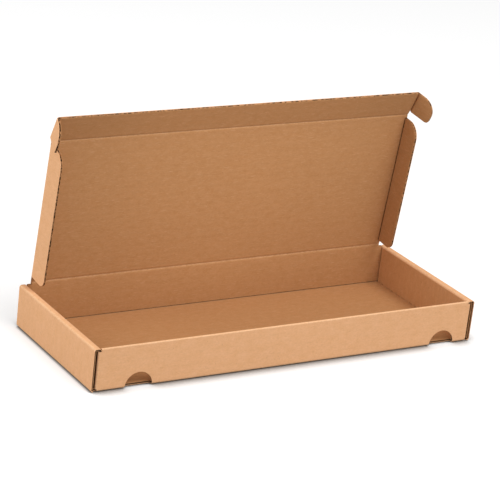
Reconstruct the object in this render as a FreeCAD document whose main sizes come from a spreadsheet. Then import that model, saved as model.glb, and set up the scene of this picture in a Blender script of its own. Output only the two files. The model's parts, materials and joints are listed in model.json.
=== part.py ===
import FreeCAD, Part
import os
import re

# A letterbox mailer: a flat posting box folded from one die-cut sheet of thin corrugated board.
# The tray has rolled side walls: each wall goes up, over a narrow spine and down again inside,
# and is locked by tabs in slots of the base. The front and back walls end in dust flaps that
# turn the corners and lie inside the rolled walls. The lid hangs on the back wall's top crease.
# It carries a side flap on each short edge and a tuck flap, with an ear at each end, in front.
#
# Frame: millimetres, +X to the right, +Y to the back, +Z up. The origin is the middle of the
# tray's underside. The lid stands open. Each crease that turns has its axis on the outer face of
# the board, and the two panels beside it are mitred, so that they meet when folded square.

SIZES = {
    # the board and the tray
    "board": 1.2,              # thickness of the fluted board
    "fold_gap": 0.1,           # air between panels that lie side by side
    "length": 220,             # outside, along X
    "depth": 82,               # outside, along Y
    "height": 22,              # up to the top of the rolled side walls
    "dust_flap": 30,           # reach of the dust flaps inside the side walls
    "tab_width": 16,           # locking tabs of the inner side panels
    "tab_inset": 14,           # from the outer front or back face to the nearest tab
    "notch_radius": 7.5,       # half-moon finger notches in the front wall
    "left_notch_inset": 25.3,  # from the left end to the middle of the left notch
    "right_notch_inset": 18,   # from the right end to the middle of the right notch
    # the lid and its flaps
    "lid_lift": 0.15,          # the shut lid's height over the rolled side walls
    "side_clearance": 0.85,    # between the shut tuck flap's ends and the inner side panels
    "flap_clearance": 0.1,     # between a folded ear and the side flap beside it
    "front_clearance": 3.2,    # between the shut tuck flap and the front wall
    "crease_gap": 0.05,        # each panel's distance from its crease
    "tuck_height": 15.5,
    "tuck_mitre": 52,          # shut, the tuck flap folds past square, so its mitre is steeper
    "flap_height": 13,         # the lid's side flaps
    "flap_heel": 2.6,          # from the lid's hinge crease to the flap
    "flap_toe": 2,             # from the flap to the tuck crease
    "flap_heel_round": 4,
    "flap_toe_round": 8,
    "ear_length": 12,
    "ear_setback": 2.2,        # from the tuck crease to the ear
    "ear_inset": 0.4,          # from the tuck flap's free edge to the ear
    "ear_root_round": 5.5,
    "ear_tip_round": 4,
    # how far each crease is folded: 0 is flat, the lid's 0 is shut
    "lid_angle": 83,
    "tuck_angle": 19,
    "flap_angle": 90,
    "left_ear_angle": 76,
    "right_ear_angle": 62,
}

# lengths that follow from the sizes
HALF_LENGTH = "(length / 2)"
HALF_DEPTH = "(depth / 2)"
SPINE = "(3 * board + 2 * fold_gap)"
INNER_HALF = f"({HALF_LENGTH} - {SPINE})"
CORNER_HALF = f"({HALF_LENGTH} - 2 * board - fold_gap)"
TUCK_HALF = f"({INNER_HALF} - side_clearance)"
LID_HALF = f"({TUCK_HALF} - board - flap_clearance)"
LID_DEPTH = "(depth - board - front_clearance)"
HINGE_HEIGHT = "(height + board + lid_lift)"
WALL_TOP = "(height - board)"
LOW_TOP = f"({WALL_TOP} - fold_gap)"

doc = FreeCAD.newDocument("letterbox_mailer")
sheet = doc.addObject("Spreadsheet::Sheet", "sizes")
for row, (name, value) in enumerate(SIZES.items(), start=1):
    sheet.set(f"A{row}", name)
    sheet.set(f"B{row}", str(value))
    sheet.setAlias(f"B{row}", name)
doc.recompute()


def on_sheet(formula):
    """The formula with each size's name made a cell of the sheet."""
    return re.sub(r"[a-z_]+", lambda word: f"sizes.{word[0]}" if word[0] in SIZES else word[0], formula)


def bind(thing, setting, formula):
    """Drive one setting of a thing by the sheet."""
    thing.setExpression(setting, on_sheet(formula))


def measure(formula):
    """The present value of a formula."""
    return float(sheet.evalExpression(on_sheet(formula)))


def panel(name, x, y, z):
    """A flat stretch of board between two corners, each a pair of formulas."""
    box = doc.addObject("Part::Box", name)
    for side, setting, (low, high) in zip("xyz", ("Length", "Width", "Height"), (x, y, z)):
        bind(box, setting, f"({high}) - ({low})")
        bind(box, f"Placement.Base.{side}", low)
    return box


def fold(name, first, second, corner, length):
    """A quarter-round fold of the board about its inner corner, from one direction to another.

    It runs from the corner, along first x second, for the given length.
    """
    axis = first.cross(second)
    bend = doc.addObject("Part::Cylinder", name)
    bend.Angle = 90
    bind(bend, "Radius", "board")
    bind(bend, "Height", length)
    bend.Placement.Rotation = FreeCAD.Rotation(first, second, axis, "XYZ")
    for side, place in zip("xyz", corner):
        bind(bend, f"Placement.Base.{side}", place)
    return bend


def join(name, pieces):
    union = doc.addObject("Part::MultiFuse", name)
    union.Shapes = pieces
    union.Refine = True
    return union


RIGHT = FreeCAD.Vector(1, 0, 0)
BACK = FreeCAD.Vector(0, 1, 0)
UP = FreeCAD.Vector(0, 0, 1)


def base():
    """The floor of the tray, with the slots that take the locking tabs."""
    floor = panel(
        "floor",
        (f"board - {HALF_LENGTH}", f"{HALF_LENGTH} - board"),
        (f"board - {HALF_DEPTH}", f"{HALF_DEPTH} - board"),
        ("0", "board"),
    )
    slots = []
    for side, x in (("left", mirrored(slot_across())), ("right", slot_across())):
        for end, y in (("front", mirrored(tab_along("fold_gap"))), ("back", tab_along("fold_gap"))):
            slots.append(panel(f"{side}_{end}_slot", x, y, ("-board", "2 * board")))
    cut = doc.addObject("Part::Cut", "slotted_floor")
    cut.Base = floor
    cut.Tool = join("slots", slots)
    return cut


def mirrored(span):
    low, high = span
    return f"-({high})", f"-({low})"


def slot_across():
    return f"{INNER_HALF} - fold_gap", f"{INNER_HALF} + board + fold_gap"


def tab_along(margin):
    """Where the back tab lies along Y, widened by a margin at each end."""
    far = f"{HALF_DEPTH} - tab_inset"
    return f"{far} - tab_width - {margin}", f"{far} + {margin}"


def rolled_wall(side, sign):
    """One side wall: outer panel, spine and inner panel with its two tabs, and their folds."""
    reach = (f"-{HALF_DEPTH}", HALF_DEPTH)
    inside = (f"board + fold_gap - {HALF_DEPTH}", f"{HALF_DEPTH} - board - fold_gap")
    outer_x = (f"{HALF_LENGTH} - board", HALF_LENGTH)
    spine_x = (f"{INNER_HALF} + board", f"{HALF_LENGTH} - board")
    inner_x = (INNER_HALF, f"{INNER_HALF} + board")
    if sign < 0:
        outer_x, spine_x, inner_x = mirrored(outer_x), mirrored(spine_x), mirrored(inner_x)
    pieces = [
        panel(f"{side}_outer_panel", outer_x, reach, ("board", WALL_TOP)),
        panel(f"{side}_spine", spine_x, reach, (WALL_TOP, "height")),
        panel(f"{side}_inner_panel", inner_x, inside, ("board + fold_gap", WALL_TOP)),
    ]
    for end, y in (("front", mirrored(tab_along("0"))), ("back", tab_along("0"))):
        pieces.append(panel(f"{side}_{end}_tab", inner_x, y, ("fold_gap", "board + fold_gap")))

    # each fold's two directions are taken in the order that makes it run towards the back
    def along_y(name, outwards, upwards, x, z, start, length):
        level, upright = RIGHT * outwards, UP * upwards
        first, second = (level, upright) if outwards * upwards < 0 else (upright, level)
        return fold(name, first, second, (f"{sign} * ({x})", start, z), length)

    wall_x = f"{HALF_LENGTH} - board"
    inner_fold_x = f"{INNER_HALF} + board"
    pieces += [
        along_y(f"{side}_base_fold", sign, -1, wall_x, "board", f"board - {HALF_DEPTH}", "depth - 2 * board"),
        along_y(f"{side}_top_fold", sign, 1, wall_x, WALL_TOP, f"-{HALF_DEPTH}", "depth"),
        along_y(f"{side}_inner_fold", -sign, 1, inner_fold_x, WALL_TOP, f"-{HALF_DEPTH}", "depth"),
    ]
    return pieces


def end_wall(end, sign):
    """The front or back wall, with its base fold, corner folds and dust flaps."""
    across = (f"{HALF_DEPTH} - board", HALF_DEPTH)
    flap_y = (f"{HALF_DEPTH} - board - dust_flap", f"{HALF_DEPTH} - board")
    if sign < 0:
        across, flap_y = mirrored(across), mirrored(flap_y)
    full_half = f"({INNER_HALF} - fold_gap)"
    pieces = [
        panel(f"{end}_wall", (f"-{full_half}", full_half), across, ("board", "height")),
        panel(f"{end}_wall_foot", (f"-{CORNER_HALF}", CORNER_HALF), across, ("board", LOW_TOP)),
    ]
    level, down = BACK * sign, UP * -1
    first, second = (level, down) if sign < 0 else (down, level)
    pieces.append(fold(
        f"{end}_base_fold", first, second,
        (f"-{CORNER_HALF}", f"{sign} * ({HALF_DEPTH} - board)", "board"), f"2 * {CORNER_HALF}",
    ))
    flap_z = ("board + fold_gap", LOW_TOP)
    for side, turn in (("left", -1), ("right", 1)):
        flap_x = (CORNER_HALF, f"{CORNER_HALF} + board")
        if turn < 0:
            flap_x = mirrored(flap_x)
        pieces.append(panel(f"{side}_{end}_dust_flap", flap_x, flap_y, flap_z))
        outward = RIGHT * turn
        first, second = (outward, level) if sign * turn > 0 else (level, outward)
        pieces.append(fold(
            f"{side}_{end}_corner_fold", first, second,
            (f"{turn} * {CORNER_HALF}", f"{sign} * ({HALF_DEPTH} - board)", flap_z[0]),
            f"{LOW_TOP} - board - fold_gap",
        ))
    return pieces


def hinge_edge():
    """The top of the back wall under the lid, mitred along the hinge crease."""
    edge = doc.addObject("Part::Wedge", "hinge_edge")
    top = f"{HINGE_HEIGHT} - crease_gap"
    for setting, formula in {
        "Xmin": f"-{LID_HALF}", "Xmax": LID_HALF, "X2min": f"-{LID_HALF}", "X2max": LID_HALF,
        "Ymin": f"{HALF_DEPTH} - board", "Ymax": HALF_DEPTH,
        "Zmin": WALL_TOP, "Z2min": WALL_TOP, "Zmax": f"{top} - board", "Z2max": top,
    }.items():
        bind(edge, setting, formula)
    return edge


def notches():
    """Cutters for the two half-moon finger notches at the front wall's foot."""
    cutters = []
    for side, x in (
        ("left", f"left_notch_inset - {HALF_LENGTH}"),
        ("right", f"{HALF_LENGTH} - right_notch_inset"),
    ):
        cutter = doc.addObject("Part::Cylinder", f"{side}_notch")
        bind(cutter, "Radius", "notch_radius")
        bind(cutter, "Height", "2 * board")
        cutter.Placement.Rotation = FreeCAD.Rotation(RIGHT, -90)
        for axis, place in zip("xyz", (x, f"-{HALF_DEPTH} - board", "0")):
            bind(cutter, f"Placement.Base.{axis}", place)
        cutters.append(cutter)
    return join("notches", cutters)


def tray():
    folded = join("folded_tray", [
        base(), *rolled_wall("left", -1), *rolled_wall("right", 1),
        *end_wall("front", -1), *end_wall("back", 1), hinge_edge(),
    ])
    cut = doc.addObject("Part::Cut", "tray")
    cut.Base = folded
    cut.Tool = notches()
    return cut


# Every moving panel is drawn flat in a frame of its own, with its crease through the origin:
# X and Y lie in the panel and Z points to the box's inside, from 0 at the outer face.
# A wedge's thickness runs along its own Y, so it is turned up by 90 degrees, and a distance
# from the crease along Y becomes minus the wedge's Z.
def turned(axis, angle, x="0", y="0", z="0"):
    return f"placement(vector({x}; {y}; {z}); rotation(vector({axis}); {angle}))"


LID_FRAME = turned("1; 0; 0", "180 - lid_angle", y=HALF_DEPTH, z=HINGE_HEIGHT)
TUCK_FRAME = LID_FRAME + " * " + turned("1; 0; 0", "tuck_angle", y=LID_DEPTH)
WEDGE_TURN = turned("1; 0; 0", "90")

# an edge at a crease, from the crease: on the outer face, and on the mitred inner face
GAP = "crease_gap"
MITRE = "(crease_gap + board)"


def mitred_panel(name, frame, outer_x, inner_x, outer_y, inner_y):
    """A panel whose outer and inner faces may differ, so that its crease edges are mitred."""
    body = doc.addObject("PartDesign::Body", name)
    sheet_of_board = body.newObject("PartDesign::AdditiveWedge", f"{name}_board")
    for setting, formula in {
        "Xmin": outer_x[0], "Xmax": outer_x[1], "X2min": inner_x[0], "X2max": inner_x[1],
        "Ymin": "0", "Ymax": "board",
        "Zmin": f"-({outer_y[1]})", "Zmax": f"-({outer_y[0]})",
        "Z2min": f"-({inner_y[1]})", "Z2max": f"-({inner_y[0]})",
    }.items():
        bind(sheet_of_board, setting, formula)
    bind(body, "Placement", f"{frame} * {WEDGE_TURN}")
    doc.recompute()
    return body, sheet_of_board


def round_corner(body, feature, name, corner, radius):
    """Round the corner whose edge through the board lies nearest to a point of the flat panel."""
    x, y = corner

    def miss(edge):
        return max(abs(end.X - x) + abs(end.Z + y) for end in edge.Vertexes)

    edges = feature.Shape.Edges
    nearest = min(range(len(edges)), key=lambda index: miss(edges[index]))
    rounded = body.newObject("PartDesign::Fillet", name)
    rounded.Base = (feature, [f"Edge{nearest + 1}"])
    bind(rounded, "Radius", radius)
    body.Tip = rounded
    doc.recompute()
    return rounded


def lid_panel():
    body, _ = mitred_panel(
        "lid_panel", LID_FRAME,
        (f"{GAP} - {LID_HALF}", f"{LID_HALF} - {GAP}"),
        (f"{MITRE} - {LID_HALF}", f"{LID_HALF} - {MITRE}"),
        (GAP, f"{LID_DEPTH} - {GAP}"), (MITRE, f"{LID_DEPTH} - {MITRE}"),
    )
    return body


def tuck_flap():
    body, _ = mitred_panel(
        "tuck_flap", TUCK_FRAME,
        (f"{GAP} - {TUCK_HALF}", f"{TUCK_HALF} - {GAP}"),
        (f"{MITRE} - {TUCK_HALF}", f"{TUCK_HALF} - {MITRE}"),
        (GAP, "tuck_height"), ("crease_gap + board * tan(tuck_mitre)", "tuck_height"),
    )
    return body


def side_panel(name, frame, sign, reach, near, far, rounds):
    """A flap on an edge across X: sign is its side, reach its width, near and far its ends.

    rounds gives the radius of its free corner at the near end and at the far end.
    """
    outer_x, inner_x = (GAP, reach), (MITRE, reach)
    if sign < 0:
        outer_x, inner_x = mirrored(outer_x), mirrored(inner_x)
    body, feature = mitred_panel(name, frame, outer_x, inner_x, (near, far), (near, far))
    for end, radius in zip((near, far), rounds):
        corner = (sign * measure(reach), measure(end))
        feature = round_corner(body, feature, f"{name}_{radius}", corner, radius)
    return body


def side_flaps():
    flaps = []
    for side, sign in (("left", -1), ("right", 1)):
        crease = turned("0; 1; 0", f"{-sign} * flap_angle", x=f"{sign} * {LID_HALF}")
        flaps.append(side_panel(
            f"lid_flap_{side}", f"{LID_FRAME} * {crease}", sign, "flap_height",
            "flap_heel", f"{LID_DEPTH} - flap_toe", ("flap_heel_round", "flap_toe_round"),
        ))
    return flaps


def ears():
    flaps = []
    for side, sign in (("left", -1), ("right", 1)):
        crease = turned("0; 1; 0", f"{-sign} * {side}_ear_angle", x=f"{sign} * {TUCK_HALF}")
        flaps.append(side_panel(
            f"tuck_ear_{side}", f"{TUCK_FRAME} * {crease}", sign, "ear_length",
            "ear_setback", "tuck_height - ear_inset", ("ear_root_round", "ear_tip_round"),
        ))
    return flaps


nodes = [tray(), lid_panel(), tuck_flap(), *side_flaps(), *ears()]
doc.recompute()

for thing in doc.Objects:
    if "Invalid" in thing.State or "Error" in thing.State:
        raise RuntimeError(f"{thing.Name} failed: {thing.State}")
os.makedirs("parts", exist_ok=True)
for node in nodes:
    node.Label = node.Name
    if node.Shape.isNull() or not node.Shape.isValid() or len(node.Shape.Solids) != 1:
        raise RuntimeError(f"{node.Label} isn't one valid solid")
for node in nodes:
    node.Shape.exportStep(f"parts/{node.Label}.step")
    print(node.Label, round(node.Shape.Volume, 2), node.Shape.BoundBox)
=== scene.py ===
import json
import math

import bmesh
import bpy
from mathutils import Matrix, Vector, geometry


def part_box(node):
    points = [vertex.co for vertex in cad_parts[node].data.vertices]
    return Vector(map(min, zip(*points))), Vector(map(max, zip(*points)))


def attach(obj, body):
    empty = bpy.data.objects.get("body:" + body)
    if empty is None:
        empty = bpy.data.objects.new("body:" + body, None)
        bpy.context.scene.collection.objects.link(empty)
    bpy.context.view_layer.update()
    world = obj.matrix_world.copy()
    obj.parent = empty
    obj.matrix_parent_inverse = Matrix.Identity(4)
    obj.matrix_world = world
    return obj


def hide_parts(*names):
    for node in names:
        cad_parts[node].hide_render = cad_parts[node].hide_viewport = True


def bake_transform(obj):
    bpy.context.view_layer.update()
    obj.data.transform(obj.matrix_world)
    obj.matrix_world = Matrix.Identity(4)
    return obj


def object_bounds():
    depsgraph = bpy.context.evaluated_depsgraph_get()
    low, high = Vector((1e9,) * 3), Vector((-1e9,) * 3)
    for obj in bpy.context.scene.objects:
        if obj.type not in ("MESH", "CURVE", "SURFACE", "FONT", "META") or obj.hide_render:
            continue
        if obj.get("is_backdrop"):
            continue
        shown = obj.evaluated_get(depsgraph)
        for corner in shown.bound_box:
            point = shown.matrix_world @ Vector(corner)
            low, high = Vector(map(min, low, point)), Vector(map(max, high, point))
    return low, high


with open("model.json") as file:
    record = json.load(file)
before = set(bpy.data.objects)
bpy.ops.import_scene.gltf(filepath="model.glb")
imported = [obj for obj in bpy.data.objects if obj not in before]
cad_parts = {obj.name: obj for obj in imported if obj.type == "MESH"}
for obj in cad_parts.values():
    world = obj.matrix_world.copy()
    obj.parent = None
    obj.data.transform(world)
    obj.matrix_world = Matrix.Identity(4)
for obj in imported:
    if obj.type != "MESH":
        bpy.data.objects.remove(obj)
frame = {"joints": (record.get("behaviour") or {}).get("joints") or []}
cad_low, cad_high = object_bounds()


# ---------------------------------------------------------------- the tray's floor
# The middle of the one die-cut sheet. It is fine-fluted board: two kraft liners with a fluted
# sheet glued between them, whose flutes run along the box. Four slots take the locking tabs of
# the side walls.

MM = 0.001
BOARD = 1.2 * MM           # thickness of the board
LINER = 0.21 * MM          # and of each of its liners
SNUG = 0.1 * MM            # air between panels that lie side by side
RECESS = 1.5 * MM          # how far the fluted sheet's glued body stands back from a cut edge
CREASE = 0.45 * MM         # half the width of a crease that turns, on the outer face
CREASE_SLOPE = 0.72        # how fast a crease widens towards the inner face
GROOVE_SLOPE = 0.98        # and how fast the side flaps' wider one does
MITRE_SLOPE = 0.6          # how fast a slanting cut runs back towards the inner face
SCORE = 0.32 * MM          # half the width of the groove inside a fold that stays put
LID_LIFT = 0.15 * MM       # the shut lid's height over the side walls
TAB_NEAR, TAB_FAR = 14 * MM, 30 * MM    # ends of the locking tabs, from the front or back face

joints = {joint["name"]: joint for joint in frame["joints"]}
tray_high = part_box("tray")[1]
half_length = tray_high.x
half_depth = tray_high.y
hinge = Vector(joints["lid_hinge"]["pos_m"])
wall_height = hinge.z - BOARD - LID_LIFT
inner_half = half_length - 3 * BOARD - 2 * SNUG
TRAY_TABS = ((-half_depth + TAB_NEAR, -half_depth + TAB_FAR),
             (half_depth - TAB_FAR, half_depth - TAB_NEAR))

SAME_SPOT = 1e-7           # points nearer than this are one
STRAIGHT_ON = 0.005        # sine of a turn too small for a mitre
SHARP_TURN = 0.6           # change of way between two cut edges that makes a corner
SMOOTH_FOLD = math.radians(35)


def inset(outline, kinds, steps):
    """The outline, which runs anticlockwise, with each edge moved in by the step of its kind."""
    moved = []
    for index, corner in enumerate(outline):
        before, after = corner - outline[index - 1], outline[(index + 1) % len(outline)] - corner
        first = Vector((-before.y, before.x)).normalized()
        second = Vector((-after.y, after.x)).normalized()
        step, next_step = steps[kinds[index - 1]], steps[kinds[index]]
        turn = first.x * second.y - first.y * second.x
        if abs(turn) > STRAIGHT_ON:
            x = (step * second.y - next_step * first.y) / turn
            y = (next_step * first.x - step * second.x) / turn
            moved.append(corner + Vector((x, y)))
        elif kinds[index - 1] == kinds[index]:
            moved.append(corner + first * step)
        else:
            moved += [corner + first * step, corner + second * next_step]
    return moved


def cut_runs(outline, kinds):
    """Each chain of cut edges, as points with the way into the board at each."""
    count = len(outline)
    for start in range(count):
        if kinds[start] != "cut" or kinds[start - 1] == "cut":
            continue
        run, index = [], start
        while kinds[index % count] == "cut":
            corner, following = outline[index % count], outline[(index + 1) % count]
            way = (following - corner).normalized()
            inwards = Vector((-way.y, way.x))
            if run and (run[-1][1] - inwards).length > SHARP_TURN:
                run.append((corner, run[-1][1]))
            run.append((corner, inwards))
            index += 1
        yield [*run, (following, inwards)]


def stand(name, data):
    """A new object in the scene."""
    made = bpy.data.objects.new(name, data)
    bpy.context.scene.collection.objects.link(made)
    return made


def layers(thick):
    """The depths of the outer liner, the fluted sheet (which stands back) and the inner liner."""
    return (0, LINER, False), (LINER, thick - LINER, True), (thick - LINER, thick, False)


class Board:
    """One piece of board: its blocks, and the cut edges where its fluted sheet shows.

    Each point knows its place in the flat sheet: along the flutes, across them, and its depth
    from the outer face. It also carries wear and painted light: up to 1 where a fold is rubbed
    light, partly as painted highlight, and down to -1 where painted shade darkens a joint.
    """

    def __init__(self):
        self.mesh = bmesh.new()
        self.mesh.verts.layers.float_vector.new("sheet")
        self.mesh.verts.layers.float.new("worn")
        self.cuts = []

    def block(self, build):
        """Add one closed block, with its faces turned outwards."""
        block = bmesh.new()
        sheet = block.verts.layers.float_vector.new("sheet")
        worn = block.verts.layers.float.new("worn")

        def point(place, flat, wear=0.0):
            made = block.verts.new(place)
            made[sheet], made[worn] = flat, wear
            return made

        build(block, point)
        bmesh.ops.remove_doubles(block, verts=block.verts, dist=SAME_SPOT)
        bmesh.ops.dissolve_degenerate(block, edges=block.edges, dist=SAME_SPOT)
        bmesh.ops.recalc_face_normals(block, faces=block.faces)
        data = bpy.data.meshes.new("block")
        block.to_mesh(data)
        block.free()
        self.mesh.from_mesh(data)
        bpy.data.meshes.remove(data)

    def prism(self, low_loops, high_loops, low, high, place, sheet):
        """A block between two depths, from its outer loop and its holes."""
        def build(block, point):
            levels = []
            for loops, depth in ((low_loops, low), (high_loops, high)):
                level = [[point(place(x, y, depth), sheet(x, y, depth)) for x, y in loop]
                         for loop in loops]
                levels.append(level)
                corners = [corner for loop in level for corner in loop]
                flat = [[Vector((x, y, 0)) for x, y in loop] for loop in loops]
                for triangle in geometry.tessellate_polygon(flat):
                    block.faces.new([corners[index] for index in triangle])
            for low_ring, high_ring in zip(*levels):
                for index in range(len(low_ring)):
                    block.faces.new((low_ring[index - 1], low_ring[index],
                                     high_ring[index], high_ring[index - 1]))
        self.block(build)

    def panel(self, outline, kinds, place, sheet, holes=(), thick=BOARD):
        """A flat panel: its liners, and the fluted sheet that stands back from its cut edges.

        Each edge of the outline has a kind: flush, plain (cut and hidden), cut, scored, mitre (cut
        at a slant between two creases), crease, or groove (a wide crease).
        """
        for low, high, back in layers(thick):
            loops = []
            for depth in (low, high):
                steps = {
                    "flush": 0, "plain": back and SNUG, "cut": back and RECESS,
                    "scored": low and SCORE, "mitre": MITRE_SLOPE * depth,
                    "crease": CREASE + CREASE_SLOPE * depth,
                    "groove": CREASE + GROOVE_SLOPE * depth,
                }
                loops.append([inset(outline, kinds, steps), *holes])
            self.prism(*loops, low, high, place, sheet)
        for run in cut_runs(outline, kinds):
            self.cuts.append([
                (place(*spot, thick / 2), place(*spot, 1) - place(*spot, 0),
                 place(*(spot + inwards), 0) - place(*spot, 0), sheet(*spot, thick / 2))
                for spot, inwards in run
            ])

    def strip(self, path, ends, place, sheet, thick=BOARD, recess=0):
        """Board that follows a path in section, and runs straight from one end to the other.

        The path gives points on the outer face: the way out, the length run so far, and the wear with
        painted light.
        """
        for low, high, _ in layers(thick):
            start, end = ends[0] + (low and recess), ends[1] - (low and recess)

            def build(block, point):
                rows = [
                    [[point(place(spot - out * depth, station), sheet(run, station, depth), wear)
                      for spot, out, run, wear in path] for depth in (low, high)]
                    for station in (start, end)
                ]
                near, far = rows
                for index in range(1, len(path)):
                    for face in (0, 1):
                        block.faces.new((near[face][index - 1], near[face][index],
                                         far[face][index], far[face][index - 1]))
                    for row in rows:
                        block.faces.new((row[0][index - 1], row[0][index],
                                         row[1][index], row[1][index - 1]))
                for index in (0, -1):
                    block.faces.new((near[0][index], near[1][index], far[1][index], far[0][index]))
            self.block(build)

    def finish(self, name, material):
        """The object of this board, smooth over its folds."""
        data = bpy.data.meshes.new(name)
        self.mesh.to_mesh(data)
        self.mesh.free()
        data.shade_smooth()
        data.set_sharp_from_angle(angle=SMOOTH_FOLD)
        data.materials.append(material)
        return stand(name, data)


FIRST_COLOUR, SECOND_COLOUR, MIXED_COLOUR = 6, 7, 2    # the sockets of a Mix node for colours


class Wire:
    """A socket of a node tree. Expressions on wires add the nodes that work them out."""

    def __init__(self, tree, socket=None):
        self.tree, self.socket = tree, socket

    def node(self, kind, settings=None, values=None, out=0):
        """A new node: its settings come first, then the values or wires of its inputs."""
        made = self.tree.nodes.new(kind)
        for name, value in (settings or {}).items():
            setattr(made, name, value)
        for key, value in (values or {}).items():
            if isinstance(value, Wire):
                self.tree.links.new(value.socket, made.inputs[key])
            else:
                made.inputs[key].default_value = value
        return Wire(self.tree, made.outputs[out] if len(made.outputs) else None)

    def beside(self, out):
        """Another output of the node that this wire comes from."""
        return Wire(self.tree, self.socket.node.outputs[out])

    def maths(self, operation, *others):
        """This value, and any others, through a Math node."""
        values = dict(enumerate((self, *others)))
        return self.node("ShaderNodeMath", {"operation": operation}, values)

    def __add__(self, other):
        return self.maths("ADD", other)

    def __sub__(self, other):
        return self.maths("SUBTRACT", other)

    def __rsub__(self, other):
        return self.node("ShaderNodeMath", {"operation": "SUBTRACT"}, {0: other, 1: self})

    def __mul__(self, other):
        return self.maths("MULTIPLY", other)

    def __truediv__(self, other):
        return self.maths("DIVIDE", other)

    __radd__, __rmul__ = __add__, __mul__

    def between(self, low, high):
        """0 below low, 1 above high and smooth between them. It runs down where low is above high."""
        if low > high:
            return 1 - self.between(high, low)
        return self.node("ShaderNodeMapRange", {"interpolation_type": "SMOOTHSTEP"},
                         {"Value": self, "From Min": low, "From Max": high})

    def grain(self, size, detail, rough, stretch=(1, 1, 1), turn=0.0):
        """Noise on these coordinates: size in millimetres, stretched and turned in the sheet."""
        place = self.node("ShaderNodeMapping", {}, {
            "Vector": self, "Rotation": (0, 0, math.radians(turn)),
            "Scale": tuple(1 / (size * MM * way) for way in stretch),
        })
        return self.node("ShaderNodeTexNoise", {}, {
            "Vector": place, "Scale": 1.0, "Detail": detail, "Roughness": rough})

    def shaded(self, factor, colour, blend="MIX"):
        """This colour mixed with another one by a factor."""
        return self.node("ShaderNodeMix", {"data_type": "RGBA", "blend_type": blend},
                         {"Factor": factor, FIRST_COLOUR: self, SECOND_COLOUR: colour},
                         out=MIXED_COLOUR)

    def choosing(self, first, second):
        """The first colour where this value is 0, and the second where it is 1."""
        return self.node("ShaderNodeMix", {"data_type": "RGBA"},
                         {"Factor": self, FIRST_COLOUR: first, SECOND_COLOUR: second},
                         out=MIXED_COLOUR)


def colour_of(red, green, blue):
    """A colour of the screen, 0 to 255, as light."""
    return tuple((level / 255 / 12.92 if level < 10.31 else ((level / 255 + 0.055) / 1.055) ** 2.4)
                 for level in (red, green, blue)) + (1.0,)


PITCH = 3.3 * MM           # from flute to flute
OUTER_KRAFT = colour_of(225, 171, 125)
INNER_KRAFT = colour_of(179, 129, 84)
ROLLED_KRAFT_SHADED = colour_of(200, 148, 101)    # the outer liner inside the rolled walls, painted darker as shade
# the cut core's colour, darkened further as painted shade of the flute openings
RAW_EDGE_AND_SHADE = colour_of(66, 40, 20)
# painted shade, for the joints at the corners and the side flaps' grooves
JOINT_SHADE = colour_of(34, 18, 7)
# pale kraft: rubbed folds, partly as painted highlight, and torn fibres
PALE_RUB_AND_HIGHLIGHT = colour_of(235, 198, 158)
FIBRE_DARK = colour_of(150, 104, 66)
FIBRE_LIGHT = colour_of(240, 205, 168)
GREEN_DRIFT, BLUE_DRIFT = 0.13, 0.42       # how much paler pulp gains in green and blue
FLUTE_SHOW, FLUTE_RELIEF = 0.010, 0.007    # the flutes under the liners, in tone and in relief
PULP_RELIEF = 0.02


def emptied(owner):
    """The node tree of a material or world with its nodes taken out, to start from."""
    owner.use_nodes = True
    owner.node_tree.nodes.clear()
    return Wire(owner.node_tree)


def paper(start, colour, roughness, height, strength, gloss):
    """Dull paper of this colour and roughness, with a relief whose height is in millimetres."""
    bump = start.node("ShaderNodeBump", {},
                      {"Strength": strength, "Distance": MM, "Height": height})
    shader = start.node("ShaderNodeBsdfPrincipled", {}, {
        "Base Color": colour, "Roughness": roughness, "Normal": bump, "Specular IOR Level": gloss})
    start.node("ShaderNodeOutputMaterial", {}, {"Surface": shader})


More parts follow.
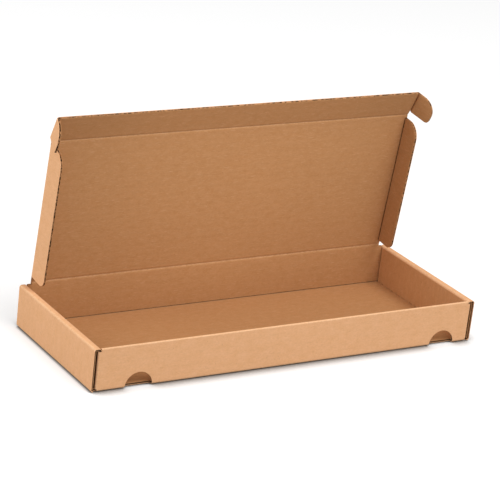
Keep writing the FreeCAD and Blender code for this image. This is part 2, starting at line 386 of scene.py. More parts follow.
def kraft_material(name):
    """Brown kraft board: the outer liner is paler than the inner one, and the cut core darker, partly as
    painted shade; folds are rubbed light, partly as painted highlight, and joints carry painted shade.
    """
    material = bpy.data.materials.new(name)
    start = emptied(material)
    sheet = start.node("ShaderNodeAttribute", {"attribute_name": "sheet"}, out="Vector")
    worn = start.node("ShaderNodeAttribute", {"attribute_name": "worn"}, out="Fac")
    along = sheet.node("ShaderNodeSeparateXYZ", {}, {0: sheet})
    across, depth = along.beside("Y"), along.beside("Z")

    cloud = sheet.grain(38, 2, 0.5, (1.6, 1, 30))
    mottle = sheet.grain(3.4, 3, 0.6, (1.5, 1, 9))
    pulp = sheet.grain(0.9, 3, 0.7, (1.3, 1, 3))
    long_fibres = sheet.grain(0.32, 1, 0.5, (13, 1, 2), 6)
    slant_fibres = sheet.grain(0.3, 1, 0.5, (9, 1, 2), 63)
    specks = sheet.grain(0.8, 0, 0.5, (1.4, 1, 2), 30)
    flute_wave = (across * (2 * math.pi / PITCH) + (cloud - 0.5) * 2.2).maths("SINE")

    # which liner it is: the outer, the inner, or the rolled walls' inner one, painted darker as shade
    inside = depth.between(0.45 * BOARD, 0.55 * BOARD)
    colour = inside.choosing(OUTER_KRAFT, INNER_KRAFT)
    colour = colour.shaded(depth.between(1.2 * BOARD, 1.8 * BOARD), ROLLED_KRAFT_SHADED)
    # its tone, and its hue, which pales with the pulp
    flutes = (inside * 0.5 + 0.5) * flute_wave * FLUTE_SHOW
    tone = 0.78 + cloud * 0.08 + mottle * 0.14 + pulp * 0.26 - flutes
    hue = mottle * 0.7 + pulp * 0.5 - 0.6
    level = start.node("ShaderNodeCombineColor", {},
                       {0: tone, 1: tone + hue * GREEN_DRIFT, 2: tone + hue * BLUE_DRIFT})
    colour = colour.shaded(1.0, level, "MULTIPLY")
    # pale and dark fibres, and a few dark specks
    colour = colour.shaded(long_fibres.between(0.62, 0.74) * 0.15, FIBRE_LIGHT)
    colour = colour.shaded(long_fibres.between(0.37, 0.27) * 0.16, FIBRE_DARK)
    colour = colour.shaded(slant_fibres.between(0.64, 0.76) * 0.14, FIBRE_LIGHT)
    colour = colour.shaded(slant_fibres.between(0.34, 0.24) * 0.16, FIBRE_DARK)
    colour = colour.shaded(specks.between(0.80, 0.86) * 0.35, FIBRE_DARK)
    # rubbed folds, partly painted highlight; the core between the liners, partly painted shade; and
    # painted shade in joints
    rub_and_highlight = worn.between(0, 1) * (0.45 + mottle * 0.5) * pulp.between(0.25, 0.6)
    colour = colour.shaded(rub_and_highlight * 0.55, PALE_RUB_AND_HIGHLIGHT)
    liner_end, core_start = 1.02 * LINER, 1.3 * LINER
    outer_end = depth.between(liner_end, core_start)
    core = outer_end * depth.between(BOARD - liner_end, BOARD - core_start)
    colour = colour.shaded(core, RAW_EDGE_AND_SHADE)
    colour = colour.shaded(worn.between(0, -1) * 0.95, JOINT_SHADE)

    grains = pulp * 0.5 + long_fibres * 0.35 + slant_fibres * 0.3 + mottle * 0.8
    relief = grains * PULP_RELIEF - flute_wave * FLUTE_RELIEF
    paper(start, colour, 0.78 + pulp * 0.14, relief, strength=0.55, gloss=0.25)
    return material


def flat_place(x, y, depth):
    """The floor lies flat, with its outer face below."""
    return Vector((x, y, depth))


def rectangle(x, y):
    """The outline between two places along X and two along Y."""
    return [Vector((x[0], y[0])), Vector((x[1], y[0])), Vector((x[1], y[1])), Vector((x[0], y[1]))]


NOTCH_RADIUS = 7.5 * MM
NOTCHES = (25.3 * MM - half_length, half_length - 18 * MM)    # their middles
NOTCH_REACH = 1.1 * MM     # how far a finger notch runs on into the floor
NOTCH_TILT = math.asin(BOARD / NOTCH_RADIUS)

tray = Board()
slots = []
for side in (-1, 1):
    across = sorted((side * (inner_half - SNUG), side * (inner_half + BOARD + SNUG)))
    for low, high in TRAY_TABS:
        slots.append(rectangle(across, (low - SNUG, high + SNUG))[::-1])
floor_x, floor_y = half_length - BOARD, half_depth - BOARD
half_notch = NOTCH_RADIUS * math.cos(NOTCH_TILT)
outline, kinds = [Vector((-floor_x, -floor_y))], ["scored"]
for notch in NOTCHES:
    near, far = notch - half_notch, notch + half_notch
    outline += [Vector((near, -floor_y)), Vector((near, NOTCH_REACH - floor_y)),
                Vector((far, NOTCH_REACH - floor_y)), Vector((far, -floor_y))]
    kinds += ["flush", "flush", "flush", "scored"]
outline += [Vector((floor_x, -floor_y)), Vector((floor_x, floor_y)), Vector((-floor_x, floor_y))]
kinds += ["scored"] * 3
tray.panel(outline, kinds, flat_place, flat_place, holes=slots)


# ---------------------------------------------------------------- the rolled side walls
# Each side wall goes up from the floor, over a narrow spine and down again inside, in one piece
# of board. Its folds are pressed round. Two tabs at the inner panel's foot lock in the slots.

BEND_STEPS = 8
QUARTER = [math.pi / 2 * step / BEND_STEPS for step in range(BEND_STEPS + 1)]
END_GAP = 0.45 * MM        # from the end of an inner panel to the front or back wall
ENDS_BACK = 0.55 * MM      # how far the crushed fluted sheet stands back in a wall's cut ends


def bent(corners, radius):
    """The path round these corners, for Board.strip, which turns left by a quarter at each.

    Its outer face is on its right. The middle of each fold is rubbed lightest, partly as painted
    highlight.
    """
    path = []
    for index, corner in enumerate(corners):
        ways = [(corners[at + 1] - corners[at]).normalized()
                for at in (index - 1, index) if 0 <= at < len(corners) - 1]
        outs = [Vector((way.y, -way.x)) for way in ways]
        if len(ways) == 1:
            spots = [(corner, outs[0], 0.0)]
        else:
            centre = corner - (outs[0] + outs[1]) * radius
            spots = []
            for turn in QUARTER:
                out = outs[0] * math.cos(turn) + outs[1] * math.sin(turn)
                spots.append((centre + out * radius, out, math.sin(2 * turn)))
        for spot, out, wear in spots:
            gone = (spot - path[-1][0]).length if path else 0
            if not path or gone > SAME_SPOT:
                path.append((spot, out, path[-1][2] + gone if path else 0, wear))
    return path


wall_start = half_length - BOARD
inner_top = wall_height - BOARD
wall_path = bent([
    Vector((wall_start, 0)), Vector((half_length, 0)), Vector((half_length, wall_height)),
    Vector((inner_half, wall_height)), Vector((inner_half, inner_top)),
], BOARD)
inner_start = wall_path[-1][2]
inner_end = half_depth - BOARD - END_GAP
foot = BOARD + SNUG

for side in (-1, 1):
    def wall_place(spot, station, side=side):
        return Vector((side * spot.x, station, spot.y))

    def wall_sheet(run, station, depth, side=side):
        return Vector((side * (wall_start + run), station, depth))

    def inner_place(y, z, depth, side=side):
        return Vector((side * (inner_half + depth), y, z))

    def inner_sheet(y, z, depth, side=side):
        return Vector((side * (wall_start + inner_start + inner_top - z), y, 2 * BOARD - depth))

    tray.strip(wall_path, (-half_depth, half_depth), wall_place, wall_sheet, recess=ENDS_BACK)

    outline, kinds = [Vector((-inner_end, foot))], ["plain"]
    for low, high in TRAY_TABS:
        outline += [Vector((low, foot)), Vector((low, SNUG)),
                    Vector((high, SNUG)), Vector((high, foot))]
        kinds += ["plain", "cut", "plain", "plain"]
    outline += [Vector((inner_end, foot)), Vector((inner_end, inner_top)),
                Vector((-inner_end, inner_top))]
    kinds += ["plain", "flush", "plain"]
    tray.panel(outline, kinds, inner_place, inner_sheet)


# ---------------------------------------------------------------- the front and back walls
# The front wall has a pressed round top, and two half-moon finger notches at its foot. The back
# wall reaches up to the lid's crease. Both end in dust flaps, which turn the corners and lie
# crushed in the side walls.

DUST_FLAP = 30 * MM
CRUSHED = 0.65 * MM        # thickness of a dust flap between the panels of the side wall
CORNER_GAP = 1.0 * MM      # open joint between the side wall's cut edge and the corner
CORNER_BEND = 0.8 * MM
UNDER_SPINE = 0.35 * MM    # open joint under the ends of the spine
NOTCH_STEPS = 24
# a dust flap is painted darker as it goes in, as shade in the joint: how far past its corner, and the
# painted shade there
DUST_FLAP_SHADE = ((0, -0.3), (0.5 * MM, -1.0), (DUST_FLAP, -1.0))

flap_face = half_length - BOARD - CORNER_GAP
wall_end = flap_face - CORNER_BEND
low_top = wall_height - BOARD - UNDER_SPINE
full_half = inner_half - SNUG
lid_half = joints["right_flap_fold"]["pos_m"][0]


def round_bend(centre, radius, first, second, turns=QUARTER, wear=None):
    """A path for Board.strip round a centre, whose way out turns from the first to the second.

    A quarter turn is rubbed lightest at its middle, partly as painted highlight, unless it has a value of
    its own.
    """
    path = []
    for turn in turns:
        out = first * math.cos(turn) + second * math.sin(turn)
        path.append((centre + out * radius, out, radius * turn,
                     math.sin(2 * turn) if wear is None else wear))
    return path


OUT, UP = Vector((1, 0)), Vector((0, 1))

for end, notches in ((-1, NOTCHES), (1, ())):
    def end_place(x, z, depth, end=end):
        return Vector((x, end * (half_depth - depth), z))

    def end_sheet(x, z, depth, end=end):
        return Vector((x, end * (half_depth + z), depth))

    outline, kinds = [Vector((-wall_end, BOARD))], ["scored"]
    foot_spans, foot_start = [], -wall_end
    for notch in notches:
        rim = []
        for step in range(NOTCH_STEPS + 1):
            turn = math.pi - NOTCH_TILT - (math.pi - 2 * NOTCH_TILT) * step / NOTCH_STEPS
            rim.append(Vector((notch + NOTCH_RADIUS * math.cos(turn), NOTCH_RADIUS * math.sin(turn))))
        outline += rim
        kinds += ["cut"] * NOTCH_STEPS + ["scored"]
        foot_spans.append((foot_start, rim[0].x))
        foot_start = rim[-1].x
    foot_spans.append((foot_start, wall_end))
    top = wall_height if end > 0 else wall_height - BOARD / 2
    outline += [Vector((wall_end, BOARD)), Vector((wall_end, low_top)),
                Vector((full_half, low_top)), Vector((full_half, top))]
    kinds += ["flush", "plain", "plain"]
    if end > 0:
        outline += [Vector((lid_half, wall_height)), Vector((lid_half, hinge.z)),
                    Vector((-lid_half, hinge.z)), Vector((-lid_half, wall_height))]
        kinds += ["plain", "plain", "crease", "plain", "plain"]
    else:
        kinds += ["flush"]
    outline += [Vector((-full_half, top)), Vector((-full_half, low_top)),
                Vector((-wall_end, low_top))]
    kinds += ["plain", "plain", "flush"]
    tray.panel(outline, kinds, end_place, end_sheet)

    def across_place(spot, along, end=end):
        return Vector((along, end * spot.x, spot.y))

    fold = round_bend(Vector((half_depth - BOARD, BOARD)), BOARD, UP * -1, OUT)
    for span in foot_spans:
        tray.strip(fold, span, across_place, lambda run, along, depth, end=end: Vector(
            (along, end * (half_depth - BOARD + run), depth)))
    if end < 0:
        half_turn = [2 * turn for turn in QUARTER]
        # the round top is rubbed light all along: a painted highlight on the front wall's top edge
        round_top = round_bend(Vector((half_depth - BOARD / 2, top)), BOARD / 2, OUT, UP,
                               half_turn, wear=1.0)
        tray.strip(
            round_top, (-full_half, full_half), across_place,
            lambda run, along, depth, end=end: Vector((along, end * (half_depth + top + run), depth)),
            thick=BOARD / 2,
        )
    bend = round_bend(Vector((wall_end, half_depth - CORNER_BEND)), CORNER_BEND, UP, OUT,
                      QUARTER[:-1])
    for reached, wear in DUST_FLAP_SHADE:
        bend.append((Vector((flap_face, half_depth - CORNER_BEND - reached)), OUT,
                     CORNER_BEND * math.pi / 2 + reached, wear))
    for side in (-1, 1):
        tray.strip(
            bend, (BOARD + SNUG, low_top),
            lambda spot, along, end=end, side=side: Vector((side * spot.x, end * spot.y, along)),
            lambda run, along, depth, end=end, side=side: Vector(
                (side * (wall_end + run), end * (half_depth + along), depth)),
            thick=CRUSHED,
        )


# ---------------------------------------------------------------- the fluted sheet at the cut edges
# Between the liners runs the fluted sheet. It shows at each cut edge: as waves where the cut
# crosses the flutes, and as long broken lines where it runs along them.

FLUTE_PAPER = 0.24 * MM
FLUTE_KRAFT = colour_of(194, 144, 100)
# painted shade of the flute openings, in patches on the fluted sheet
FLUTE_SHADE = colour_of(62, 38, 20)
FLUTE_WANDER = 2.4 * MM    # length over which the waves lose step
FLUTE_CREST = 1.5          # how flat the liners press the crests: 1 is not at all
FLUTE_STEPS = 11           # straight pieces in one wave
CUT_BACK = 0.04 * MM       # from a cut edge to the fluted sheet's own edge
LOOSE_WAVE, CROSSING_HOLD = 2.6, 2.45    # loss of step along the flutes, less when cut across


def fluting_tree():
    """Geometry nodes that stand the fluted sheet along cut edges.

    The cut edges are lines with these values at their points: through (the way through the
    board), inwards (the way into it), across (the place across the flutes) and slack (how far the
    waves lose step). A square ribbon follows each line. Its corners are numbered 0 to 3: 1 and 2
    stand at the cut, 0 and 3 further in, and 2 and 3 are its upper face.
    """
    tree = bpy.data.node_groups.new("fluting", "GeometryNodeTree")
    inputs = {}
    for name, kind in (
        ("Cuts", "Geometry"), ("Pitch", "Float"), ("Swing", "Float"), ("Paper", "Float"),
        ("Reach", "Float"), ("Step", "Float"), ("Material", "Material"),
    ):
        socket = tree.interface.new_socket(name, in_out="INPUT", socket_type=f"NodeSocket{kind}")
        inputs[name] = socket.identifier
    tree.interface.new_socket("Fluting", in_out="OUTPUT", socket_type="NodeSocketGeometry")
    start = Wire(tree).node("NodeGroupInput")
    paper_width = start.beside("Paper")

    def named(name, kind="FLOAT"):
        return start.node("GeometryNodeInputNamedAttribute", {"data_type": kind}, {"Name": name})

    def store(thing, name, kind, value):
        return start.node("GeometryNodeStoreNamedAttribute", {"data_type": kind, "domain": "POINT"},
                          {"Geometry": thing, "Name": name, "Value": value})

    def scaled(vector, factor):
        return start.node("ShaderNodeVectorMath", {"operation": "SCALE"},
                          {0: vector, "Scale": factor})

    def added(first, second):
        return start.node("ShaderNodeVectorMath", {"operation": "ADD"}, {0: first, 1: second})

    edges = start.node("GeometryNodeMeshToCurve", {}, {"Mesh": start.beside("Cuts")})
    edges = start.node("GeometryNodeResampleCurve", {"mode": "LENGTH"},
                       {"Curve": edges, "Length": start.beside("Step")})
    edges = store(edges, "middle", "FLOAT_VECTOR", start.node("GeometryNodeInputPosition"))
    section = start.node("GeometryNodeCurvePrimitiveQuadrilateral", {},
                         {"Width": paper_width, "Height": paper_width})
    section = store(section, "corner", "FLOAT", start.node("GeometryNodeInputIndex"))
    ribbon = start.node("GeometryNodeCurveToMesh", {},
                        {"Curve": edges, "Profile Curve": section, "Fill Caps": True})

    corner, middle = named("corner"), named("middle", "FLOAT_VECTOR")
    wander = start.node("ShaderNodeTexNoise", {},
                        {"Vector": middle, "Scale": 1 / FLUTE_WANDER, "Detail": 1.0}) - 0.5
    phase = named("across") / start.beside("Pitch") + wander * named("slack")
    wave = (phase * (2 * math.pi)).maths("SINE") * FLUTE_CREST
    wave = wave.maths("MINIMUM", 1.0).maths("MAXIMUM", -1.0)
    back = 1 - (corner - 1.5).maths("ABSOLUTE").maths("FLOOR")
    upper = (corner / 2).maths("FLOOR")

    inwards = scaled(named("inwards", "FLOAT_VECTOR"), back * start.beside("Reach") + CUT_BACK)
    through = scaled(named("through", "FLOAT_VECTOR"),
                     wave * start.beside("Swing") + (upper - 0.5) * paper_width)
    ribbon = start.node("GeometryNodeSetPosition", {}, {
        "Geometry": ribbon, "Position": added(added(middle, inwards), through)})
    ribbon = start.node("GeometryNodeRealizeInstances", {}, {"Geometry": ribbon})
    ribbon = start.node("GeometryNodeSetMaterial", {},
                        {"Geometry": ribbon, "Material": start.beside("Material")})
    start.node("NodeGroupOutput", {}, {"Fluting": ribbon})
    return tree, inputs


def fluting_material():
    """The fluted sheet is rougher and browner than the liners, with torn pale fibres and patches of
    painted shade.
    """
    material = bpy.data.materials.new("fluting_kraft")
    place = emptied(material).node("ShaderNodeTexCoord", out="Object")
    mottle = place.grain(1.4, 1, 0.5)
    fuzz = place.grain(0.3, 2, 0.7)
    # patches of painted shade, standing in for the shade in the flute openings
    colour = mottle.between(0.44, 0.56).choosing(FLUTE_KRAFT, FLUTE_SHADE)
    colour = colour.shaded(fuzz.between(0.62, 0.78) * 0.35, PALE_RUB_AND_HIGHLIGHT)
    paper(place, colour, 0.92, fuzz * 0.03, strength=0.5, gloss=0.2)
    return material


flute_group, flute_inputs = fluting_tree()
flute_kraft = fluting_material()


def fluting(name, board):
    """The fluted sheet along the cut edges of one piece of board, as a plain mesh."""
    data = bpy.data.meshes.new(name)
    points, edges = [], []
    values = {"through": [], "inwards": [], "across": [], "slack": []}
    for run in board.cuts:
        for index, (middle, through, inwards, sheet) in enumerate(run):
            other = run[index + 1] if index + 1 < len(run) else run[index - 1]
            span = (other[0] - middle).length
            crossing = min(1, abs(other[3].y - sheet.y) / span) if span > 1e-9 else 0
            if index + 1 < len(run):
                edges.append((len(points), len(points) + 1))
            points.append(middle)
            slack = LOOSE_WAVE - CROSSING_HOLD * crossing
            for key, value in zip(values, (through, inwards, sheet.y, slack)):
                values[key].append(value)
    data.from_pydata(points, edges, [])
    for key, column in values.items():
        kind, field = ("FLOAT_VECTOR", "vector") if key in ("through", "inwards") else ("FLOAT", "value")
        layer = data.attributes.new(key, kind, "POINT")
        for item, value in zip(layer.data, column):
            setattr(item, field, value)
    paths = stand(f"{name}_paths", data)
    modifier = paths.modifiers.new("fluting", "NODES")
    modifier.node_group = flute_group
    for key, value in (
        ("Pitch", PITCH), ("Swing", BOARD / 2 - LINER - FLUTE_PAPER / 2), ("Paper", FLUTE_PAPER),
        ("Reach", RECESS), ("Step", PITCH / FLUTE_STEPS), ("Material", flute_kraft),
    ):
        modifier[flute_inputs[key]] = value
    evaluated = paths.evaluated_get(bpy.context.evaluated_depsgraph_get())
    ribbon = bpy.data.meshes.new_from_object(evaluated)
    bpy.data.objects.remove(paths)
    turned = bmesh.new()
    turned.from_mesh(ribbon)
    bmesh.ops.recalc_face_normals(turned, faces=turned.faces)
    turned.to_mesh(ribbon)
    turned.free()
    ribbon.name = name
    return stand(name, ribbon)


tray_kraft = kraft_material("tray_kraft")
tray_flutes = fluting("tray_fluting", tray)
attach(tray_flutes, "tray")
tray_board = tray.finish("tray_board", tray_kraft)
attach(tray_board, "tray")
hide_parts("tray")


# ---------------------------------------------------------------- the lid
# One panel that hangs on the back wall's crease. Its side edges carry the side flaps along most
# of their length, and its front edge carries the tuck flap.

FLAP_HEEL = 2.6 * MM       # from the hinge crease to the side flap
FLAP_TOE = 2 * MM          # from the side flap to the tuck crease
ROUND_STEPS = 12

RIGHT = Vector((1, 0, 0))
lid_way = Vector(joints["right_flap_fold"]["axis"])
tuck_way = Vector(joints["right_ear_fold"]["axis"])
tuck_crease = Vector(joints["tuck_fold"]["pos_m"])
lid_depth = (tuck_crease - hinge).length
lid_start = half_depth + hinge.z
flap_span = (FLAP_HEEL, lid_depth - FLAP_TOE)


def hung(origin, x_way, y_way, inwards):
    """Places on a panel that starts at a crease: x and y lie in it, and depth goes inwards."""
    return lambda x, y, depth: origin + x_way * x + y_way * y + inwards * depth


def edged(corners):
    """An outline and the kinds of its edges, from corners: x, y, radius and the next edge's kind."""
    outline, kinds = [], []
    for index, (x, y, radius, kind) in enumerate(corners):
        corner = Vector((x, y))
        if not radius:
            outline.append(corner)
            kinds.append(kind)
            continue
        before = (corner - Vector(corners[index - 1][:2])).normalized()
        after = (Vector(corners[(index + 1) % len(corners)][:2]) - corner).normalized()
        centre = corner - before * radius + after * radius
        for step in range(ROUND_STEPS + 1):
            turn = math.pi / 2 * step / ROUND_STEPS
            outline.append(centre - after * radius * math.cos(turn) + before * radius * math.sin(turn))
            kinds.append(kinds[-1] if step < ROUND_STEPS else kind)
    return outline, kinds


def lid_sheet(x, y, depth):
    """Where a point of the lid lies in the flat sheet."""
    return Vector((x, lid_start + y, depth))


lid_inwards = RIGHT.cross(lid_way)
lid_place = hung(hinge, RIGHT, lid_way, lid_inwards)
lid = Board()
lid.panel(*edged([
    (-lid_half, 0, 0, "crease"), (lid_half, 0, 0, "plain"),
    (lid_half, flap_span[0], 0, "groove"), (lid_half, flap_span[1], 0, "plain"),
    (lid_half, lid_depth, 0, "crease"), (-lid_half, lid_depth, 0, "plain"),
    (-lid_half, flap_span[1], 0, "groove"), (-lid_half, flap_span[0], 0, "plain"),
]), lid_place, lid_sheet)
lid_kraft = kraft_material("lid_kraft")
lid_board = lid.finish("lid_board", lid_kraft)
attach(lid_board, "lid")
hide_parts("lid_panel")


# ---------------------------------------------------------------- the tuck flap
# It slips in behind the front wall when the lid is shut. Its free edge is cut along the flutes,
# so the fluted sheet shows there only here and there.

TUCK_HEIGHT = 15.5 * MM
EAR_SETBACK = 2.2 * MM     # from the tuck crease to the ear
EAR_INSET = 0.4 * MM       # from the tuck flap's free edge to the ear
FLUTES_START = 1.4 * MM    # from a fold, where the board is crushed, to an open cut edge

tuck_half = joints["right_ear_fold"]["pos_m"][0]
tuck_inwards = RIGHT.cross(tuck_way)
tuck_place = hung(tuck_crease, RIGHT, tuck_way, tuck_inwards)
ear_span = (EAR_SETBACK, TUCK_HEIGHT - EAR_INSET)
open_half = tuck_half - FLUTES_START


def tuck_sheet(x, y, depth):
    """Where a point of the tuck flap lies in the flat sheet."""
    return lid_sheet(x, lid_depth + y, depth)


tuck = Board()
tuck.panel(*edged([
    (-lid_half, 0, 0, "crease"), (lid_half, 0, 0, "mitre"),
    (tuck_half, ear_span[0], 0, "crease"), (tuck_half, TUCK_HEIGHT, 0, "plain"),
    (open_half, TUCK_HEIGHT, 0, "cut"), (-open_half, TUCK_HEIGHT, 0, "plain"),
    (-tuck_half, TUCK_HEIGHT, 0, "crease"), (-tuck_half, ear_span[0], 0, "mitre"),
]), tuck_place, tuck_sheet)
tuck_kraft = kraft_material("tuck_kraft")
tuck_flutes = fluting("tuck_fluting", tuck)
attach(tuck_flutes, "tuck")
tuck_board = tuck.finish("tuck_board", tuck_kraft)
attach(tuck_board, "tuck")
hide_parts("tuck_flap")


# ---------------------------------------------------------------- the lid's side flaps and the ears
# Small flaps on the short edges of the lid and of the tuck flap. Their free edges are cut across
# the flutes, which show there as rows of small openings.

FLAP_HEIGHT = 13 * MM
FLAP_ROUNDS = (4 * MM, 8 * MM)
EAR_LENGTH = 12 * MM
EAR_ROUNDS = (2.2 * MM, 8 * MM)

flap_kraft = kraft_material("flap_kraft")
flap_places = {}
SIDE_FLAPS = (
    # kind and parent panel, its crease's start, the parent's way up and inwards, half its
    # length, the crease's two ends, the edge's kind, reach, near and far round, the flat sheet
    ("flap", "lid", hinge, lid_way, lid_inwards, lid_half, flap_span, "groove",
     FLAP_HEIGHT, *FLAP_ROUNDS, lid_sheet),
    ("ear", "tuck", tuck_crease, tuck_way, tuck_inwards, tuck_half, ear_span, "crease",
     EAR_LENGTH, *EAR_ROUNDS, tuck_sheet),
)
for kind, parent, crease, way, inwards, half, span, root, reach, near_round, far_round, flat in SIDE_FLAPS:
    near, far = span[0] + SNUG / 2, span[1] - SNUG / 2
    for side, sign in (("left", -1), ("right", 1)):
        name = f"{side}_{kind}"
        folded = math.radians(90 + joints[f"{name}_fold"]["range_deg"][0])
        out = RIGHT * sign
        place = hung(
            crease + out * half, out * math.cos(folded) + inwards * math.sin(folded), way,
            inwards * math.cos(folded) - out * math.sin(folded),
        )
        flap_places[name] = place
        flap = Board()
        flap.panel(*edged([
            (0, near, 0, "plain"), (FLUTES_START, near, 0, "cut"), (reach, near, near_round, "cut"),
            (reach, far, far_round, "cut"), (FLUTES_START, far, 0, "plain"), (0, far, 0, root),
        ]), place, lambda x, y, depth, sign=sign, half=half, flat=flat: flat(sign * (half + x), y, depth))
        flap_flutes = fluting(f"{name}_fluting", flap)
        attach(flap_flutes, name)
        flap_board = flap.finish(f"{name}_board", flap_kraft)
        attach(flap_board, name)
        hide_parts(f"{parent}_{kind}_{side}")


# ---------------------------------------------------------------- the creases
# Where two panels turn, the board is crushed along a score line: the outer liner bends, and the
# inner face sinks to a narrow valley.

DEEP_VALLEY, LOW_VALLEY = 0.4 * MM, 1.08 * MM    # thickness left under the valley
VALLEY_MIDDLE = 0.92       # and at its middle, as a share of that
SHOULDER = 0.7             # how far out and up the valley's side bends, as a share of the way
VALLEY_RUB_AND_LIGHT = 0.6           # the valley's bottom is rubbed light, partly as painted light over its shade
GROOVE_SHADE = -0.35        # or, in the side flaps' wide creases, darkened by painted shade
# the valley's shoulders are rubbed a little lighter, partly as painted light
SHOULDER_RUB_AND_LIGHT = 0.1
BEND_RUB_AND_HIGHLIGHT, RIDGE_RUB_AND_HIGHLIGHT = 0.3, 0.7    # the outer liner's rub where a bend starts, and over it, partly as painted highlight
BEND_COUNT = 6


def crease_strip(name, place_a, place_b, span, sheet_a, sheet_b, bodies, slot, material, valley,
                 slope=CREASE_SLOPE, worn=VALLEY_RUB_AND_LIGHT):
    """The crushed board between two panels: each place takes a distance from the crease, a
    station along it and a depth. Points between the panels turn smoothly from one to the other.
    """
    board = Board()
    reach = CREASE + slope * BOARD
    shoulder, shoulder_depth = SHOULDER * reach, (1 - SHOULDER) * valley + SHOULDER * BOARD
    shoulder_wear_and_light = min(SHOULDER_RUB_AND_LIGHT, worn)
    between = [2 * CREASE * step / BEND_COUNT - CREASE for step in range(1, BEND_COUNT)]
    # the section, from one panel's inner face round the outside to the other's and back, as
    # distance from the crease, depth, and wear with painted light
    section = [(-reach, BOARD, 0.0), (-CREASE, 0.0, BEND_RUB_AND_HIGHLIGHT)]
    section += [(distance, 0.0, RIDGE_RUB_AND_HIGHLIGHT) for distance in between]
    section += [(CREASE, 0.0, BEND_RUB_AND_HIGHLIGHT), (reach, BOARD, 0.0)]
    section += [(shoulder, shoulder_depth, shoulder_wear_and_light), (CREASE, valley, worn / 2)]
    section += [(-distance, VALLEY_MIDDLE * valley, worn) for distance in between]
    section += [(-CREASE, valley, worn / 2), (-shoulder, shoulder_depth, shoulder_wear_and_light)]

    def placed(distance, station, depth):
        share = min(1, max(0, (distance + CREASE) / (2 * CREASE)))
        share = share * share * (3 - 2 * share)
        a, b = place_a(distance, station, depth), place_b(distance, station, depth)
        if share <= 0 or share >= 1:
            return b if share >= 1 else a
        origin = place_a(0, station, 0)
        radius = (a - origin).length
        mixed = (a - origin) * (1 - share) + (b - origin) * share
        return origin + (mixed.normalized() * radius if mixed.length > 1e-9 else mixed)

    def build(block, point):
        rings = []
        for station in span:
            ring = []
            for distance, depth, wear in section:
                flat = (sheet_a if distance < 0 else sheet_b)(abs(distance), station, 0)
                flat.z = BOARD if depth > 0 else 0.0
                ring.append(point(placed(distance, station, depth), flat, wear))
            rings.append(ring)
        for index in range(len(section)):
            block.faces.new((rings[0][index - 1], rings[0][index], rings[1][index], rings[1][index - 1]))
        for ring in rings:
            block.faces.new(ring)

    board.block(build)
    made = board.finish(name, material)
    middle = sum(span) / 2
    start, end = place_a(-CREASE, middle, 0), place_b(CREASE, middle, 0)
    tuple(start)
    tuple(end)
    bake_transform(made)


def across_x(place, sign=1):
    """A panel whose crease runs along X, by its distance from the crease, station and depth."""
    return lambda distance, station, depth: place(station, sign * distance, depth)


back_wall = hung(hinge, RIGHT, Vector((0, 0, -1)), Vector((0, -1, 0)))
crease_strip(
    "lid_crease", across_x(back_wall, -1), across_x(lid_place), (-lid_half, lid_half),
    across_x(lid_sheet, -1), across_x(lid_sheet), ("tray", "lid"), "lid_board", lid_kraft, LOW_VALLEY,
)
before_tuck = hung(tuck_crease, RIGHT, lid_way * -1, lid_inwards)
crease_strip(
    "tuck_crease", across_x(before_tuck, -1), across_x(tuck_place), (-lid_half, lid_half),
    across_x(tuck_sheet, -1), across_x(tuck_sheet), ("lid", "tuck"), "tuck_board", tuck_kraft, LOW_VALLEY,
)
for kind, parent, crease, way, inwards, half, span, root, *_, flat in SIDE_FLAPS:
    for side, sign in (("left", -1), ("right", 1)):
        name = f"{side}_{kind}"
        panel = hung(crease + RIGHT * sign * half, RIGHT * -sign, way, inwards)
        crease_strip(
            f"{name}_crease",
            lambda distance, station, depth, panel=panel: panel(-distance, station, depth),
            flap_places[name], span,
            lambda d, y, depth, sign=sign, half=half, flat=flat: flat(sign * (half - d), y, depth),
            lambda d, y, depth, sign=sign, half=half, flat=flat: flat(sign * (half + d), y, depth),
            (parent, name), "flap_board", flap_kraft, DEEP_VALLEY,
            *((GROOVE_SLOPE, GROOVE_SHADE) if root == "groove" else ()),
        )


# ---------------------------------------------------------------- the floor, the light and the camera
# A plain pale floor that keeps the box's shadow and has a painted shadow along its foot, a white
# surround, soft lamps from above, from the front and from the left, a faint pool of light on the
# lid, and a camera well away on the left.

FLOOR_SIZE = 4.0
FLOOR_LEVEL = -0.4 * MM    # the board is never quite flat, so its edges stand just clear
FLOOR_GREY = (0.36, 0.36, 0.36, 1)      # as it lights the box
FLOOR_PALE = (0.62, 0.62, 0.62, 1)      # as it is seen
FLOOR_GLOW = 0.5
FOOT_SHADE = (0.30, 0.28, 0.26, 1)      # painted shadow: the dark line at the box's foot
CONTACT = 11 * MM          # how far it reaches in front
CONTACT_LEFT = 2.6 * MM    # and on the left, which is better lit
LEFT_SHARE = 0.5           # and how strong it is there
CONTACT_FADE = 1.6         # how soon it thins out
SKY_LIGHT = 0.41
WHITE = (1, 1, 1, 1)
LAMP_AIM = Vector((0, 0, 0.04))
LAMPS = (
    # the way from the box to the lamp, its size and its power
    (Vector((0.3, -0.6, 1.1)), 0.9, 11.2),
    (Vector((0.1, -1.2, 0.25)), 0.9, 4.0),
    (Vector((-1.15, 0.14, 0.4)), 1.0, 8.6),
)
LID_LAMP_PLACE, LID_LAMP_AIM = Vector((0.0, -1.2, 0.35)), Vector((0.0, 0.05, 0.1))
LID_LAMP_POWER, LID_LAMP_SIZE, LID_LAMP_ANGLE = 12, 0.03, math.radians(10)
AZIMUTH, ELEVATION, ROLL = math.radians(-33.05), math.radians(20.66), math.radians(6.75)
CAMERA_PLACE = Vector((-0.58506, -0.89275, 0.4474))
LENS, SENSOR = 163.86, 36.0

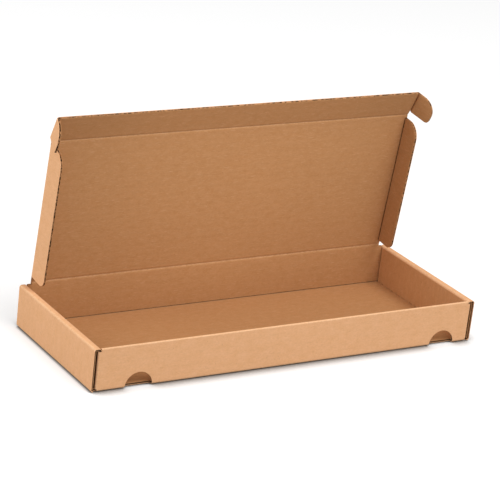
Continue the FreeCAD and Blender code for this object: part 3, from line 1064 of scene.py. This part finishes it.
floor_mesh = bpy.data.meshes.new("floor")
floor_mesh.from_pydata([(x * FLOOR_SIZE, y * FLOOR_SIZE, FLOOR_LEVEL)
                        for x, y in ((-1, -1), (1, -1), (1, 1), (-1, 1))], [], [(0, 1, 2, 3)])
floor = stand("floor", floor_mesh)


def seen_rays(start):
    """1 for the rays of the camera, of gloss and of clear things, which see the pale surround."""
    camera_ray = start.node("ShaderNodeLightPath", out="Is Camera Ray")
    shown = camera_ray.maths("MAXIMUM", camera_ray.beside("Is Glossy Ray"))
    return shown.maths("MAXIMUM", camera_ray.beside("Is Transmission Ray"))


floor_white = bpy.data.materials.new("floor_white")
rays = seen_rays(emptied(floor_white))
plain = rays.node("ShaderNodeBsdfDiffuse", {}, {"Color": FLOOR_GREY})
pale = rays.node("ShaderNodeBsdfDiffuse", {}, {"Color": FLOOR_PALE})
glow = rays.node("ShaderNodeEmission", {}, {"Strength": FLOOR_GLOW})
glowing = rays.node("ShaderNodeAddShader", {}, {0: pale, 1: glow})
dark = rays.node("ShaderNodeBsdfDiffuse", {}, {"Color": FOOT_SHADE})


def closeness(reach):
    """1 at the box's foot, and 0 at this distance from it."""
    open_air = rays.node("ShaderNodeAmbientOcclusion", {"samples": 8}, {"Distance": reach}, out="AO")
    return ((1 - open_air) * 2).maths("MINIMUM", 1.0).maths("POWER", CONTACT_FADE)


place_x = rays.node("ShaderNodeSeparateXYZ", {}, {0: rays.node("ShaderNodeTexCoord", out="Object")})
on_left = place_x.between(MM - half_length, -MM - half_length)
# painted shadow at the box's foot, from ambient occlusion, narrower and fainter on the left
near_foot = closeness(CONTACT) * (1 - on_left) + closeness(CONTACT_LEFT) * on_left * LEFT_SHARE
shadowed = rays.node("ShaderNodeMixShader", {}, {0: near_foot, 1: glowing, 2: dark})
seen = rays.node("ShaderNodeMixShader", {}, {0: rays, 1: plain, 2: shadowed})
rays.node("ShaderNodeOutputMaterial", {}, {"Surface": seen})
floor_mesh.materials.append(floor_white)
floor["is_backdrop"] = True

world = bpy.data.worlds.new("surround")
bpy.context.scene.world = world
sky = seen_rays(emptied(world))
lighting = sky.node("ShaderNodeBackground", {}, {"Color": WHITE, "Strength": SKY_LIGHT})
white = sky.node("ShaderNodeBackground", {}, {"Color": WHITE, "Strength": 1.0})
surround = sky.node("ShaderNodeMixShader", {}, {0: sky, 1: lighting, 2: white})
sky.node("ShaderNodeOutputWorld", {}, {"Surface": surround})


def shine(lamp, place, aim):
    """Stand a lamp at a place and turn it to its aim."""
    holder = stand(lamp.name, lamp)
    holder.location = place
    holder.rotation_euler = (aim - place).to_track_quat("-Z", "Y").to_euler()


for index, (way, size, power) in enumerate(LAMPS):
    lamp = bpy.data.lights.new(f"lamp_{index}", "AREA")
    lamp.shape, lamp.size, lamp.energy = "DISK", size, power
    shine(lamp, LAMP_AIM + way, LAMP_AIM)
lid_lamp = bpy.data.lights.new("lid_lamp", "SPOT")
lid_lamp.energy, lid_lamp.spot_size, lid_lamp.spot_blend = LID_LAMP_POWER, LID_LAMP_ANGLE, 1.0
lid_lamp.shadow_soft_size = LID_LAMP_SIZE
shine(lid_lamp, LID_LAMP_PLACE, LID_LAMP_AIM)

back = Vector((math.sin(AZIMUTH) * math.cos(ELEVATION), -math.cos(AZIMUTH) * math.cos(ELEVATION),
               math.sin(ELEVATION)))
level = (back * -1).cross(Vector((0, 0, 1))).normalized()
upright = level.cross(back * -1)
right_way = level * math.cos(ROLL) + upright * math.sin(ROLL)
up_way = upright * math.cos(ROLL) - level * math.sin(ROLL)
lens = bpy.data.cameras.new("camera")
lens.lens, lens.sensor_width = LENS, SENSOR
lens.clip_start, lens.clip_end = 0.05, 20.0
camera = stand("camera", lens)
turned_way = Matrix((right_way, up_way, back)).transposed().to_4x4()
camera.matrix_world = Matrix.Translation(CAMERA_PLACE) @ turned_way
bpy.context.scene.camera = camera
bpy.context.scene.view_settings.view_transform = "Standard"

low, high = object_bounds()
{"cad": [list(cad_low), list(cad_high)], "visual": [list(low), list(high)]}
